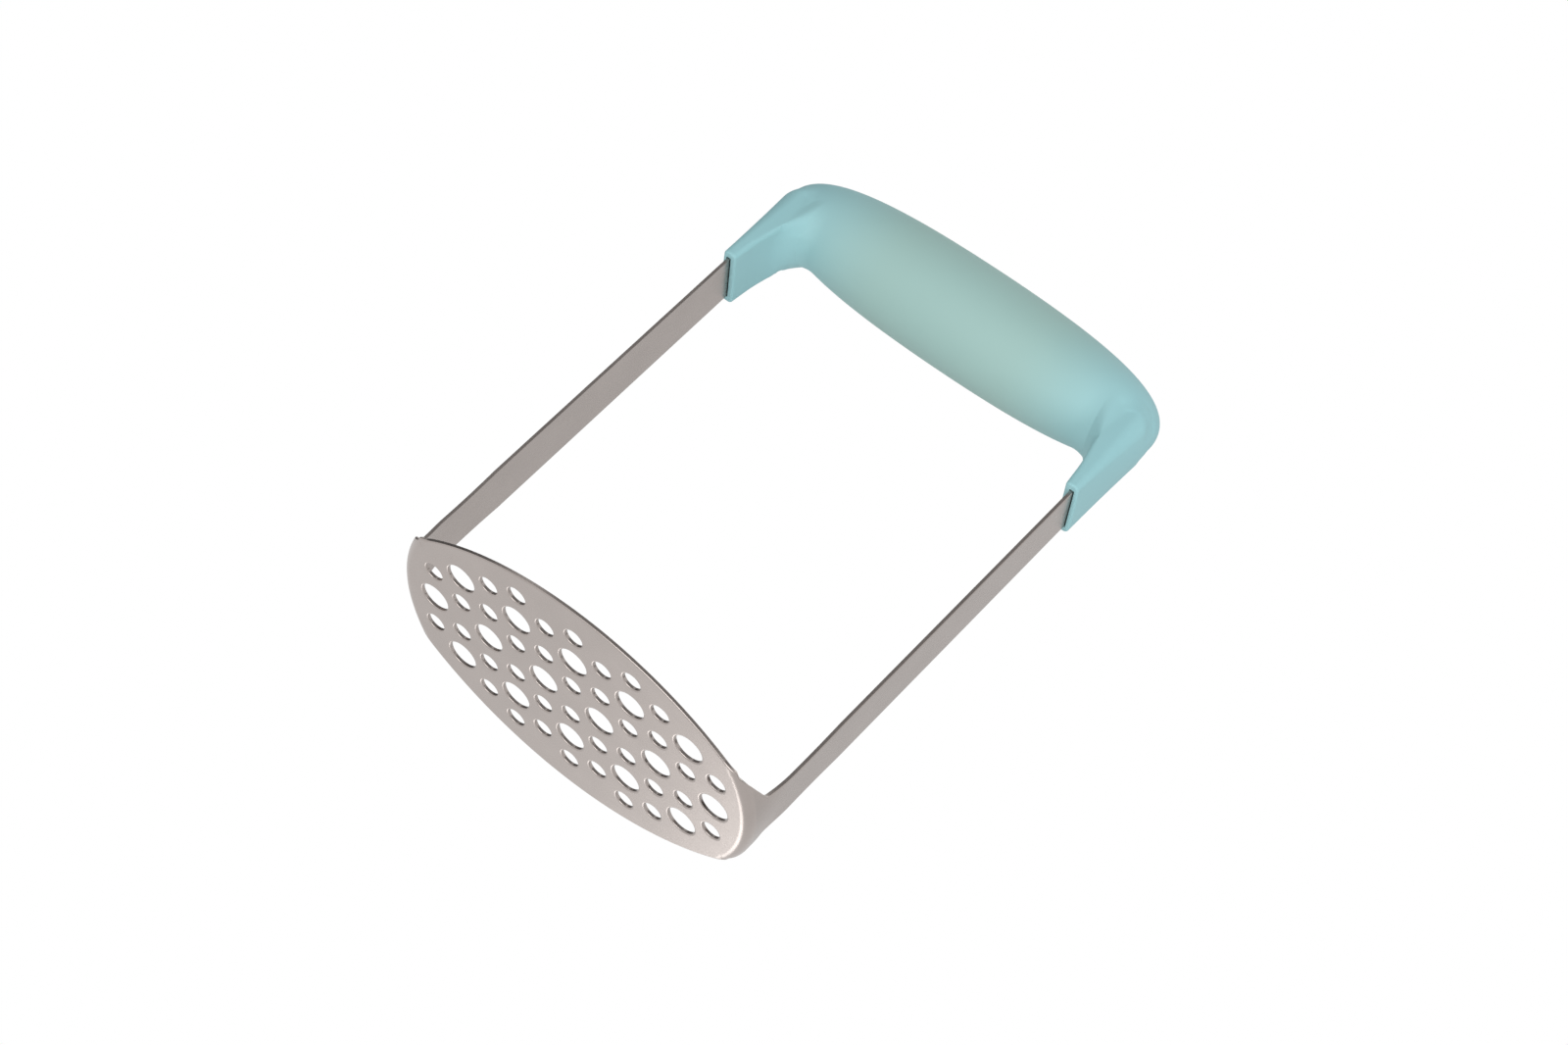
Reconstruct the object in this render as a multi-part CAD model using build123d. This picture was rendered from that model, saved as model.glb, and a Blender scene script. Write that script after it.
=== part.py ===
from build123d import *
import math
import os

# Potato masher: a perforated steel head whose two ends fold up into straps, with a grip
# moulded across the top of the straps.
# Millimetres. X runs along the grip, Y across the head and +Z from the head up to the grip.
# The origin is the middle of the head's underside, so the masher stands on its head.

# Steel sheet that the head and both straps are stamped from, in one piece
sheet_thickness = 1.0

# Head: a lens between two equal arcs
head_width = 74.6
head_edge_radius = 75.0
head_length = 108.0

# Ends of the head, which fold up round a curved line
end_wall_radius = 45.0
fold_inside_radius = 1.8
end_wall_inset = 14.0
flare_half_width = 18.4
flare_edge_height = 1.1
flare_corner_half_width = 8.0
flare_corner_height = 6.5
flare_corner_radius = 1.6

# Straps
strap_width = 15.0
strap_lean = 1.5
waist_depth = 0.42
waist_start_height = 9.8
waist_height = 19.3
waist_end_height = 33.3
flat_start_height = 15.0
strap_end_radius = 3.0
notch_length = 5.0
notch_depth = 2.0

# Holes in the head, in upright columns of large and small ones
column_spacing = 8.66
columns_each_side = 5
large_hole_diameter = 8.2
small_hole_diameter = 5.2
large_hole_spacing = 33.2
small_from_large_in_odd_columns = 10.9
small_from_large_in_even_columns = 10.2
least_edge_web = 2.0

# Grip: a barrel that is fullest in the middle and rounded off at both ends.
# Every height inside the grip is measured from its axis, so they move together.
grip_axis_height = 154.9
grip_diameter = 30.2
grip_end_past_strap = 5.4
end_handle_share = 0.73
middle_handle_share = 0.72

# Ends of the straps inside the grip
strap_end_below_axis = 3.9
notch_below_axis = 11.9

# Legs of the grip, which take the straps and are placed from the straps' outer sides
mouth_below_axis = 31.3
leg_width = 19.2
inside_from_strap_at_mouth = 1.1
outside_from_strap_at_mouth = 2.6
outside_from_strap_at_crest = 3.6
inside_from_strap_at_arch = 2.9
crest_above_axis = 7.9
shoulder_below_axis = 1.6
shoulder_radius = 8.0
arch_below_axis = 13.9
arch_radius = 9.0
root_below_axis = 4.4
inside_from_strap_at_root = 7.6
root_radius = 7.0
leg_inner_edge_radius = 1.2
outer_edge_radius_at_mouth = 1.0
outer_edge_radius_at_crest = 4.5
mouth_edge_chamfer = 0.4

# The outer face of a leg is almost flat at the mouth and swells towards the barrel's end
swell_at_mouth = 0.2
swell_at_crest = 2.6

# Soft skin over a stiff core made in two hollow halves
skin_on_barrel = 2.2
skin_on_legs = 1.2
core_foot_below_axis = 23.9
core_wall = 2.2
core_end_block = 44.0
rib_thickness = 1.6
rib_spacing = 22.0
ribs_each_side = 2
boss_diameter = 7.6
peg_diameter = 3.8
peg_length = 4.0
peg_clearance = 0.1
moulding_gap = 0.1

# Cutting bodies run past what they cut by this much
overrun = 5.0

# Sizes that follow from those above
fold_outside_radius = fold_inside_radius + sheet_thickness
strap_outside = head_length / 2
end_wall_centre = strap_outside - end_wall_radius
strap_end_height = grip_axis_height - strap_end_below_axis
notch_height = grip_axis_height - notch_below_axis
mouth_height = grip_axis_height - mouth_below_axis
arch_height = grip_axis_height - arch_below_axis
root_height = grip_axis_height - root_below_axis
shoulder_height = grip_axis_height - shoulder_below_axis
crest_height = grip_axis_height + crest_above_axis
core_foot_height = grip_axis_height - core_foot_below_axis
lean_per_height = strap_lean / mouth_height
grip_radius = grip_diameter / 2
leg_inside_at_mouth = strap_outside - inside_from_strap_at_mouth
leg_outside_at_mouth = strap_outside + outside_from_strap_at_mouth
leg_outside_at_crest = strap_outside + outside_from_strap_at_crest
leg_inside_at_arch = strap_outside - inside_from_strap_at_arch
leg_root = strap_outside - inside_from_strap_at_root
barrel_half_length = strap_outside + grip_end_past_strap
tall = grip_axis_height + grip_diameter
wide = head_length + 2 * barrel_half_length


def block(x_low, x_high, y_low, y_high, z_low, z_high):
    """Rectangular block between two corners."""
    size = (x_high - x_low, y_high - y_low, z_high - z_low)
    middle = ((x_low + x_high) / 2, (y_low + y_high) / 2, (z_low + z_high) / 2)
    return Pos(*middle) * Box(*size)


def mirrored(shape):
    """The same shape at the other end of the masher."""
    return mirror(shape, about=Plane.YZ)


def head_outline():
    """Lens between two arcs that bulge to +Y and to -Y."""
    arc_centre = head_edge_radius - head_width / 2
    front_arc = Pos(0, arc_centre) * Circle(head_edge_radius)
    back_arc = Pos(0, -arc_centre) * Circle(head_edge_radius)
    return front_arc & back_arc


def head_half_width(x):
    """Half the head's width at a distance from its middle."""
    arc_centre = head_edge_radius - head_width / 2
    return math.sqrt(head_edge_radius ** 2 - x ** 2) - arc_centre


def hole_places():
    """Centre and diameter of every hole, both ways from the middle column."""
    places = []
    for column in range(-columns_each_side, columns_each_side + 1):
        x = column * column_spacing
        if column % 2:
            large_rows = (-large_hole_spacing, 0, large_hole_spacing)
            step = small_from_large_in_odd_columns
        else:
            large_rows = (-large_hole_spacing / 2, large_hole_spacing / 2)
            step = small_from_large_in_even_columns
        for row in large_rows:
            places.append((x, row, large_hole_diameter))
            places.append((x, row - step, small_hole_diameter))
            places.append((x, row + step, small_hole_diameter))
    return [place for place in places if fits_on_head(*place)]


def fits_on_head(x, y, diameter):
    """A hole is punched only where it leaves enough metal at the head's edge."""
    return abs(y) + diameter / 2 + least_edge_web < head_half_width(x)


def fold_cup():
    """Shallow round cup whose bottom corner is the fold at one end of the head."""
    rim = fold_outside_radius
    outside = Pos(end_wall_centre, 0, rim) * Cylinder(end_wall_radius, 2 * rim)
    outside = fillet(outside.edges().sort_by(Axis.Z)[0], fold_outside_radius)
    inside_radius = end_wall_radius - sheet_thickness
    inside = Pos(end_wall_centre, 0, sheet_thickness + rim) * Cylinder(inside_radius, 2 * rim)
    inside = fillet(inside.edges().sort_by(Axis.Z)[0], fold_inside_radius)
    cup = outside - inside
    keep = block(strap_outside - end_wall_inset, strap_outside + overrun,
                 -head_width, head_width, 0, rim)
    return cup & keep


def strap_middle(height):
    """X of the middle of the strap's thickness, which leans outwards as it rises."""
    return strap_outside - sheet_thickness / 2 + lean_per_height * height


def strap_section(height, width, thickness):
    """Flat section of the strap at a height."""
    return (Pos(strap_middle(height), 0, height) * Rectangle(thickness, width)).face()


def risen(section, rise):
    """A strap section drawn upwards along the lean of the strap."""
    return extrude(section, amount=math.hypot(rise, rise * lean_per_height),
                   dir=(lean_per_height, 0, 1))


def strap_blank():
    """Fold and strap before trimming: round in plan at the fold and flat higher up."""
    ring = Circle(end_wall_radius) - Circle(end_wall_radius - sheet_thickness)
    wide_blank = 2 * flare_half_width
    window = Pos(end_wall_radius, 0) * Rectangle(end_wall_radius, wide_blank)
    round_section = (Pos(end_wall_centre, 0, fold_outside_radius) * (ring & window)).face()
    neck = loft([round_section, strap_section(flat_start_height, wide_blank, sheet_thickness)])
    flat = strap_section(flat_start_height, wide_blank, sheet_thickness)
    return fold_cup() + neck + risen(flat, strap_end_height - flat_start_height)


def strap_side_outline(growth=0):
    """Outline of a folded end and its strap seen along X, as one closed face.

    The head's edge rises in a flare to the foot of the strap, which is drawn in at a waist.
    """
    half = strap_width / 2 + growth
    top = strap_end_height + growth
    low = -overrun
    full = head_width
    waist = half - waist_depth
    edges = [Line((-full, low), (full, low)), Line((-half, top), (half, top))]
    for way in (1, -1):
        points = [
            (way * full, low),
            (way * full, flare_edge_height),
            (way * flare_half_width, flare_edge_height),
            (way * flare_corner_half_width, flare_corner_height),
            (way * half, waist_start_height),
            (way * half, waist_end_height),
            (way * half, top),
        ]
        edges += [
            Line(points[0], points[1]),
            Line(points[1], points[2]),
            Line(points[2], points[3]),
            Line(points[3], points[4]),
            ThreePointArc(points[4], (way * waist, waist_height), points[5]),
            Line(points[5], points[6]),
        ]
    face = make_face(edges)
    corners = [v for v in face.vertices() if abs(v.Y - flare_corner_height) < growth + sheet_thickness / 2]
    face = fillet(corners, flare_corner_radius)
    tips = [v for v in face.vertices() if abs(v.Y - top) < sheet_thickness / 2]
    face = fillet(tips, strap_end_radius)
    for way in (1, -1):
        notch = Rectangle(2 * notch_depth - 2 * growth, notch_length - 2 * growth)
        face = face - Pos(way * half, notch_height) * notch
    return face


def folded_end():
    """One folded-up end with its strap, trimmed to its outlines from above and from the side."""
    side = extrude(Plane.YZ * strap_side_outline(), amount=wide)
    plan = extrude(head_outline(), amount=fold_outside_radius)
    above = block(0, wide, -head_width, head_width, fold_outside_radius, tall)
    return strap_blank() & side & (plan + above)


def blade_frame():
    """Head, folds and straps as one stamped and bent piece of sheet."""
    join = strap_outside - end_wall_inset
    flat = extrude(head_outline() & Rectangle(2 * join, head_width), amount=sheet_thickness)
    end = folded_end()
    frame = flat + end + mirrored(end)
    punches = [Pos(x, y, sheet_thickness / 2) * Cylinder(diameter / 2, 2 * sheet_thickness)
               for x, y, diameter in hole_places()]
    return frame - punches


def strap_slot():
    """Room for the part of a strap that the grip hides, with moulding clearance all round."""
    foot_height = mouth_height - overrun
    foot = strap_section(foot_height, head_width, sheet_thickness + 2 * moulding_gap)
    sheet = risen(foot, strap_end_height + moulding_gap - foot_height)
    return sheet & extrude(Plane.YZ * strap_side_outline(moulding_gap), amount=wide)


def barrel(inset=0):
    """Barrel of the grip, turned about its own axis and drawn in by an inset.

    Each half of its profile is one curve that starts square to the axis at the end and
    finishes level at the middle.
    """
    radius = grip_radius - inset
    reach = barrel_half_length - inset
    profile = []
    for way in (-1, 1):
        profile.append(Bezier(
            (way * reach, 0),
            (way * reach, end_handle_share * radius),
            (way * middle_handle_share * reach, radius),
            (0, radius),
        ))
    profile.append(Line((-reach, 0), (reach, 0)))
    return Pos(0, 0, grip_axis_height) * revolve(Plane.XZ * make_face(profile), axis=Axis.X)


def leg_front_outline():
    """Leg seen from the front, with its root inside the barrel.

    Its inner side bends over at the arch and runs slanting into the underside of the barrel.
    Its outer side bends over at the shoulder and slopes up to a crest inside the barrel.
    """
    arch = (leg_inside_at_arch, arch_height)
    foot = leg_outside_at_mouth + swell_at_mouth
    spread = leg_outside_at_crest + swell_at_crest - foot
    risen_share = (shoulder_height - mouth_height) / (crest_height - mouth_height)
    shoulder = (foot + spread * risen_share, shoulder_height)
    face = make_face(Polyline(
        (leg_inside_at_mouth, mouth_height),
        (foot, mouth_height),
        shoulder,
        (leg_root, crest_height),
        (leg_root, root_height),
        arch,
        close=True,
    ))
    for corner, radius in ((arch, arch_radius), (shoulder, shoulder_radius)):
        nearest = face.vertices().sort_by_distance(corner)[0]
        face = fillet(nearest, radius)
    return face


def leg_side_outline():
    """Leg seen along X: straight sides with a round top about the barrel's axis."""
    half = leg_width / 2
    straight = grip_axis_height - mouth_height
    sides = Pos(0, mouth_height + straight / 2) * Rectangle(leg_width, straight)
    return sides + Pos(0, grip_axis_height) * Circle(half)


def leg_plan(height, outside, swell, edge_radius):
    """Leg seen from above at a height, with a swelling outer side and rounded outer corners."""
    half = leg_width / 2
    root = leg_root - overrun
    sides = Polyline((outside, half), (root, half), (root, -half), (outside, -half))
    bow = ThreePointArc((outside, -half), (outside + swell, 0), (outside, half))
    face = make_face(sides.edges() + [bow])
    corners = face.vertices().sort_by(Axis.X)[-2:]
    return Pos(0, 0, height) * fillet(corners, edge_radius)


def leg_body():
    """Upright body of a leg, whose outer side leans out, swells and grows rounder as it rises."""
    foot = leg_plan(mouth_height, leg_outside_at_mouth, swell_at_mouth, outer_edge_radius_at_mouth)
    crest = leg_plan(crest_height, leg_outside_at_crest, swell_at_crest, outer_edge_radius_at_crest)
    return loft([foot, crest], ruled=True)


def leg(inset=0):
    """One leg of the grip, drawn in by an inset."""
    front = leg_front_outline()
    side = leg_side_outline()
    body = leg_body()
    if inset:
        front = offset(front, amount=-inset)
        side = offset(side, amount=-inset)
        body = Pos(-inset, 0, 0) * body
    front_solid = extrude(Plane.XZ * front, amount=leg_width, both=True)
    side_solid = extrude(Plane.YZ * side, amount=wide)
    return front_solid & side_solid & body


def rounded_leg():
    """Leg with its inner edges eased and a small bevel round the mouth."""
    body = leg()
    side_face = leg_width / 2 - mouth_edge_chamfer
    inner_edges = [e for e in body.edges()
                   if mouth_height + mouth_edge_chamfer < e.center().Z < arch_height
                   and e.center().X < leg_inside_at_mouth and abs(e.center().Y) > side_face]
    body = fillet(inner_edges, leg_inner_edge_radius)
    mouth = body.faces().sort_by(Axis.Z)[0]
    return chamfer(mouth.edges(), mouth_edge_chamfer)


def root_edges(body):
    """Curved edges where the inner sides of the legs run into the underside of the barrel."""
    return [e for e in body.edges()
            if e.geom_type == GeomType.BSPLINE
            and leg_root < abs(e.center().X) < leg_inside_at_arch
            and e.center().Z < root_height and abs(e.center().Y) < leg_width / 2]


def grip_outside():
    """Outer form of the grip: the barrel with both legs, blended in under the barrel."""
    side = rounded_leg()
    body = barrel() + side + mirrored(side)
    return fillet(root_edges(body), root_radius)


def grip_skin():
    """Soft skin with the legs and mouths, hollow where the core and the straps go."""
    slot = strap_slot()
    return grip_outside() - core_form(0) - slot - mirrored(slot)


def core_form(gap):
    """Outer form of the stiff core: barrel and upper legs, clear of the skin by a gap."""
    upper = block(0, wide, -wide, wide, core_foot_height + gap, tall)
    side = leg(skin_on_legs + gap) & upper
    return barrel(skin_on_barrel + gap) + side + mirrored(side)


def rib_places():
    """X of each rib across the hollow of the core."""
    places = [step * rib_spacing for step in range(1, ribs_each_side + 1)]
    return [-x for x in reversed(places)] + places


def core():
    """Whole core before it is parted, with its ribs and round bosses in the hollow."""
    hollow = barrel(skin_on_barrel + moulding_gap + core_wall)
    hollow = hollow & block(-core_end_block, core_end_block, -wide, wide, 0, tall)
    for x in rib_places():
        hollow = hollow - block(x - rib_thickness / 2, x + rib_thickness / 2, -wide, wide, 0, tall)
    for x in boss_places():
        hollow = hollow - boss_rod(x, boss_diameter, wide)
    slot = strap_slot()
    return core_form(moulding_gap) - hollow - slot - mirrored(slot)


def boss_places():
    """X of each boss that lines the two halves up."""
    return [-rib_spacing * 3 / 2, 0, rib_spacing * 3 / 2]


def boss_rod(x, diameter, length):
    """Round rod along Y through the barrel's axis."""
    return Pos(x, 0, grip_axis_height) * Rot(90, 0, 0) * Cylinder(diameter / 2, length)


def core_front():
    """Front half of the core, with a socket in each boss."""
    half = core() & block(-wide, wide, -wide, 0, 0, tall)
    for x in boss_places():
        half = half - boss_rod(x, peg_diameter + 2 * peg_clearance, 2 * (peg_length + peg_clearance))
    return half


def core_rear():
    """Rear half of the core, with a peg on each boss."""
    half = core() & block(-wide, wide, 0, wide, 0, tall)
    for x in boss_places():
        half = half + boss_rod(x, peg_diameter, 2 * peg_length)
    return half


nodes = {
    "blade_frame": blade_frame,
    "core_front": core_front,
    "core_rear": core_rear,
    "grip_skin": grip_skin,
}

os.makedirs("parts", exist_ok=True)
for name, make in nodes.items():
    solid = make()
    export_step(solid, os.path.join("parts", name + ".step"))
    box = solid.bounding_box()
    print(name, "volume", round(solid.volume), "size", [round(v, 1) for v in box.size])
print("holes", len(hole_places()))
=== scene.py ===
# %% [markdown]
# # A potato masher
#
# A hand masher is two things: one piece of stamped steel sheet, which is the perforated head
# and both straps, and a soft grip that is moulded over the tops of the straps.
# The measured solids come first, because every new piece has to sit exactly where they are.

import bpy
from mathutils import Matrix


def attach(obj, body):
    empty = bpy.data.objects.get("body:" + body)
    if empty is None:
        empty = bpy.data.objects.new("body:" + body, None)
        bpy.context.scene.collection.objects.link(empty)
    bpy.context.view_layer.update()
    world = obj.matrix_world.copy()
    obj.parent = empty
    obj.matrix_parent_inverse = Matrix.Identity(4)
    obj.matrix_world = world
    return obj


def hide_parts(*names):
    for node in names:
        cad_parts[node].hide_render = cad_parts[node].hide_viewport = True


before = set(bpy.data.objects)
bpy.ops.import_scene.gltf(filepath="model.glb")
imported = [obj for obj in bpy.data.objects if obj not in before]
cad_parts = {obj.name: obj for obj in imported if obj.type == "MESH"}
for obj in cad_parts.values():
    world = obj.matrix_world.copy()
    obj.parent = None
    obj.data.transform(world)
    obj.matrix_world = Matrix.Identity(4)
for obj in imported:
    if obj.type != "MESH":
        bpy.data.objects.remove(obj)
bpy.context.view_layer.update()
print("nodes", sorted(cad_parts))

# %% [markdown]
# The sizes below are in millimetres, as a maker writes them, and `mm` turns them into Blender's
# metres only when a mesh is made. X runs along the grip, Y across the head and Z up, with the
# origin under the middle of the head.

# %% Tools and units
import math

import bpy
import numpy as np
from mathutils import Matrix, Vector
from mathutils.geometry import delaunay_2d_cdt

mm = 0.001


def new_object(name, mesh):
    """Put a mesh in the scene as an object."""
    made = bpy.data.objects.new(name, mesh)
    bpy.context.scene.collection.objects.link(made)
    return made


def mesh_from(name, points, faces):
    """Mesh from points in millimetres and lists of their numbers."""
    mesh = bpy.data.meshes.new(name)
    mesh.from_pydata([tuple(p) for p in np.asarray(points) * mm], [], faces)
    mesh.validate()
    mesh.update()
    return mesh


# %% [markdown]
# ## Camera
# The masher is seen from below and a little to the right, so the underside of the head shows
# through its holes. The camera's place and the three directions that turn it were worked out
# from the even spacing of the holes, which is why the numbers aren't round.

# %% Camera
camera_place = (232.257, -594.367, -278.211)
camera_right = (0.77489, -0.07483, 0.62765)
camera_down = (0.54945, 0.57062, -0.61032)
camera_forward = (-0.31248, 0.8178, 0.48329)
lens_length = 67.936
sensor_width = 36.0

camera_data = bpy.data.cameras.new("camera")
camera_data.lens = lens_length
camera_data.sensor_width = sensor_width
camera_data.clip_start = 0.01
camera = bpy.data.objects.new("camera", camera_data)
bpy.context.scene.collection.objects.link(camera)
turn = Matrix((camera_right, -Vector(camera_down), -Vector(camera_forward))).transposed()
camera.matrix_world = Matrix.Translation(Vector(camera_place) * mm) @ turn.to_4x4()
bpy.context.scene.camera = camera
bpy.context.scene.view_settings.view_transform = "Standard"
print("camera is", round((Vector(camera_place) * mm).length, 3), "m from the head")

# %% [markdown]
# ## The blank
# The real head and straps start as one flat blank, cut from sheet with its holes punched. Here
# too the piece is drawn flat first and bent afterwards, because a flat outline with round holes
# is easy to draw and the bending then carries holes, edges and grain with it.
#
# The blank has two directions: `u` runs from the middle of the head towards a strap, and `v`
# runs across. The first helpers say where the fold begins and how the folded sheet leads on.

# %% Sizes of the sheet
sheet = 1.0
head_width = 74.6
head_edge_radius = 75.0
head_length = 108.0
end_wall_radius = 45.0
fold_inside_radius = 1.8
flare_half_width = 18.4
flare_edge_height = 1.1
flare_corner_half_width = 8.0
flare_corner_height = 6.5
flare_corner_radius = 1.6
strap_half_width = 7.5
strap_lean_per_height = 1.5 / 123.6
waist_depth = 0.42
waist_start_height = 9.8
waist_height = 19.3
waist_end_height = 33.3
flat_start_height = 15.0
strap_end_height = 151.0

fold_outside_radius = fold_inside_radius + sheet
fold_middle_radius = fold_inside_radius + sheet / 2
fold_length = fold_middle_radius * math.pi / 2
wall_centre = head_length / 2 - end_wall_radius
fold_start_radius = end_wall_radius - fold_outside_radius


def head_half_width(x):
    """Half the head's width at a distance from its middle."""
    return np.sqrt(head_edge_radius ** 2 - x ** 2) - (head_edge_radius - head_width / 2)


def fold_start(v):
    """How far out the fold begins, on its curved line."""
    return wall_centre + np.sqrt(fold_start_radius ** 2 - v ** 2)


def u_at_height(v, z):
    """Where in the blank a point of the folded sheet lies, from its height."""
    if z >= fold_outside_radius:
        return fold_start(v) + fold_length + z - fold_outside_radius
    turned = math.acos((fold_outside_radius - z) / fold_middle_radius)
    return fold_start(v) + fold_middle_radius * turned


print("the fold takes up", round(fold_length, 2), "mm of the sheet")

# %% [markdown]
# The outline of one quarter runs along the head's edge, round the fold, up the flare to the foot
# of the strap, in at the waist and up to the strap's end. The other three quarters mirror it.

# %% Outline of the blank
def arc_through(start, middle, end, count):
    """Points on the circle through three points, without the first."""
    (ax, ay), (bx, by), (cx, cy) = start, middle, end
    d = 2 * (ax * (by - cy) + bx * (cy - ay) + cx * (ay - by))
    ox = ((ax**2 + ay**2) * (by - cy) + (bx**2 + by**2) * (cy - ay) + (cx**2 + cy**2) * (ay - by)) / d
    oy = ((ax**2 + ay**2) * (cx - bx) + (bx**2 + by**2) * (ax - cx) + (cx**2 + cy**2) * (bx - ax)) / d
    first, last = math.atan2(ay - oy, ax - ox), math.atan2(cy - oy, cx - ox)
    sweep = (last - first + math.pi) % (2 * math.pi) - math.pi
    radius = math.hypot(ax - ox, ay - oy)
    angles = first + sweep * np.arange(1, count + 1) / count
    return [(ox + radius * math.cos(a), oy + radius * math.sin(a)) for a in angles]


def rounded_corner(before, corner, after, radius, count):
    """Points of a fillet between two straight runs."""
    before, corner, after = Vector(before), Vector(corner), Vector(after)
    one, two = (before - corner).normalized(), (after - corner).normalized()
    half = one.angle(two) / 2
    centre = corner + (one + two).normalized() * radius / math.sin(half)
    reach = radius / math.tan(half)
    middle = centre + (corner - centre).normalized() * radius
    start = corner + one * reach
    return [tuple(start)] + arc_through(start, middle, corner + two * reach, count)


def spread(start, end, step):
    """Even points from one place to another, without the first."""
    count = max(1, round(math.dist(start, end) / step))
    return [tuple(np.add(start, np.subtract(end, start) * k / count)) for k in range(1, count + 1)]


def quarter_outline():
    """Blank's outline from the middle of the head's edge to the middle of the strap's end."""
    points, x = [], 0.0
    while math.hypot(x - wall_centre, head_half_width(x)) < fold_start_radius:
        points.append((x, head_half_width(x)))
        x += 0.9
    lift = math.acos((fold_outside_radius - flare_edge_height) / fold_middle_radius)
    for turned in np.linspace(0, lift, 5):
        r = fold_start_radius + fold_middle_radius * math.sin(turned)
        low, high = wall_centre, head_length / 2
        for _ in range(40):
            x = (low + high) / 2
            if math.hypot(x - wall_centre, head_half_width(x)) < r:
                low = x
            else:
                high = x
        v = float(head_half_width(x))
        points.append((float(fold_start(v)) + fold_middle_radius * turned, v))
    foot = (strap_half_width, waist_start_height)
    flare_corner = (flare_corner_half_width, flare_corner_height)
    flare = (flare_half_width, flare_edge_height)
    side = [flare] + spread(flare, flare_corner, 0.6)[:-3]
    side += rounded_corner(flare, flare_corner, foot, flare_corner_radius, 6)
    side += [foot]
    waist = (strap_half_width - waist_depth, waist_height)
    side += arc_through(foot, waist, (strap_half_width, waist_end_height), 24)
    side += spread(side[-1], (strap_half_width, strap_end_height), 8.0)
    points += [(float(u_at_height(v, z)), v) for v, z in side]
    return points + [(points[-1][0], 0.0)]


def blank_outline():
    """Whole outline, anticlockwise seen from the food's side."""
    quarter = quarter_outline()
    back_right = quarter[::-1]
    back_left = [(-u, v) for u, v in quarter[1:]]
    front_left = [(u, -v) for u, v in back_left[::-1][1:]]
    front_right = [(u, -v) for u, v in back_right[::-1][:-1]]
    loop = back_right + back_left + front_left + front_right
    return np.array(loop)


outline = blank_outline()
blank_length = float(np.ptp(outline[:, 0]))
print("outline has", len(outline), "points and the blank is", round(blank_length), "mm long")

# %% [markdown]
# ## Holes
# Eleven columns of holes cross the head. A column holds two or three large holes with a small
# one on each side of each, and a hole that would come too near the head's edge is left out.

# %% Holes of the head
column_spacing = 8.66
columns_each_side = 5
large_hole, small_hole = 8.2, 5.2
large_hole_spacing = 33.2
small_from_large_in_odd_columns = 10.9
small_from_large_in_even_columns = 10.2
least_edge_web = 2.0


def hole_places():
    """Centre and radius of each hole that fits on the head."""
    places = []
    for column in range(-columns_each_side, columns_each_side + 1):
        if column % 2:
            rows = (-large_hole_spacing, 0.0, large_hole_spacing)
            step = small_from_large_in_odd_columns
        else:
            rows = (-large_hole_spacing / 2, large_hole_spacing / 2)
            step = small_from_large_in_even_columns
        for row in rows:
            for shift, size in ((0, large_hole), (-step, small_hole), (step, small_hole)):
                places.append((column * column_spacing, row + shift, size / 2))
    return [(x, y, r) for x, y, r in places if abs(y) + r + least_edge_web < head_half_width(x)]


def ring(x, y, r):
    """Round hole as a clockwise loop, so that its metal lies on the same side as the outline's."""
    count = 56 if r > small_hole / 2 else 40
    angles = -2 * math.pi * np.arange(count) / count
    return np.stack([x + r * np.cos(angles), y + r * np.sin(angles)], axis=1)


hole_loops = [ring(*place) for place in hole_places()]
print(len(hole_loops), "holes")

# %% [markdown]
# ## Rolled edges
# A punch drags the metal down before it cuts, so on the side it enters every edge is softly
# rolled, wider than it is high, and on the far side it is nearly sharp. In the photograph these
# rolled rims catch the light round each hole. A bevel modifier could round them, but it rounds
# both sides alike, so each loop gets its own rows of points instead: in from the edge and up
# through the sheet.

# %% Rows of points across an edge
roll_inset, roll_height = 0.5, 0.28
far_side_radius = 0.12
edge_rows = []
for angle in np.linspace(0, math.pi / 2, 6):
    inset = roll_inset * (1 - math.sin(angle))
    height = roll_height * (1 - math.cos(angle))
    out, down = math.sin(angle) / roll_inset, math.cos(angle) / roll_height
    edge_rows.append((inset, height, out / math.hypot(out, down), -down / math.hypot(out, down)))
for angle in np.linspace(0, math.pi / 2, 3):
    inset = far_side_radius * (1 - math.cos(angle))
    height = sheet - far_side_radius * (1 - math.sin(angle))
    edge_rows.append((inset, height, math.cos(angle), math.sin(angle)))
print(len(edge_rows), "rows of points across each edge")


def outward(loop):
    """Direction away from the metal at each point of a loop, and how far a corner stretches it."""
    ahead = np.roll(loop, -1, axis=0) - loop
    ahead /= np.linalg.norm(ahead, axis=1)[:, None]
    normal = np.stack([ahead[:, 1], -ahead[:, 0]], axis=1)
    both = normal + np.roll(normal, 1, axis=0)
    both /= np.linalg.norm(both, axis=1)[:, None]
    stretch = 1 / np.maximum((both * normal).sum(axis=1), 0.5)
    return both, stretch


# %% [markdown]
# The flat faces are filled with triangles between the loops. Blender's constrained Delaunay
# filling keeps the loops as they are and says which triangles lie in a hole. Where the sheet
# will bend, extra points go in first, because a face can only bend where it has points.

# %% Fill of one side of the blank
def bend_points():
    """Rows of extra points across the folds and the curved wall above them."""
    rows = list(np.linspace(-0.6, fold_length, 11))
    rows += list(np.linspace(fold_length, fold_length + flat_start_height - fold_outside_radius, 15))[1:]
    points = []
    for v in np.arange(-18.0, 18.1, 0.75):
        for row in rows:
            for way in (1, -1):
                points.append((way * float(fold_start(v) + row), v))
    return np.array(points)


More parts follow.
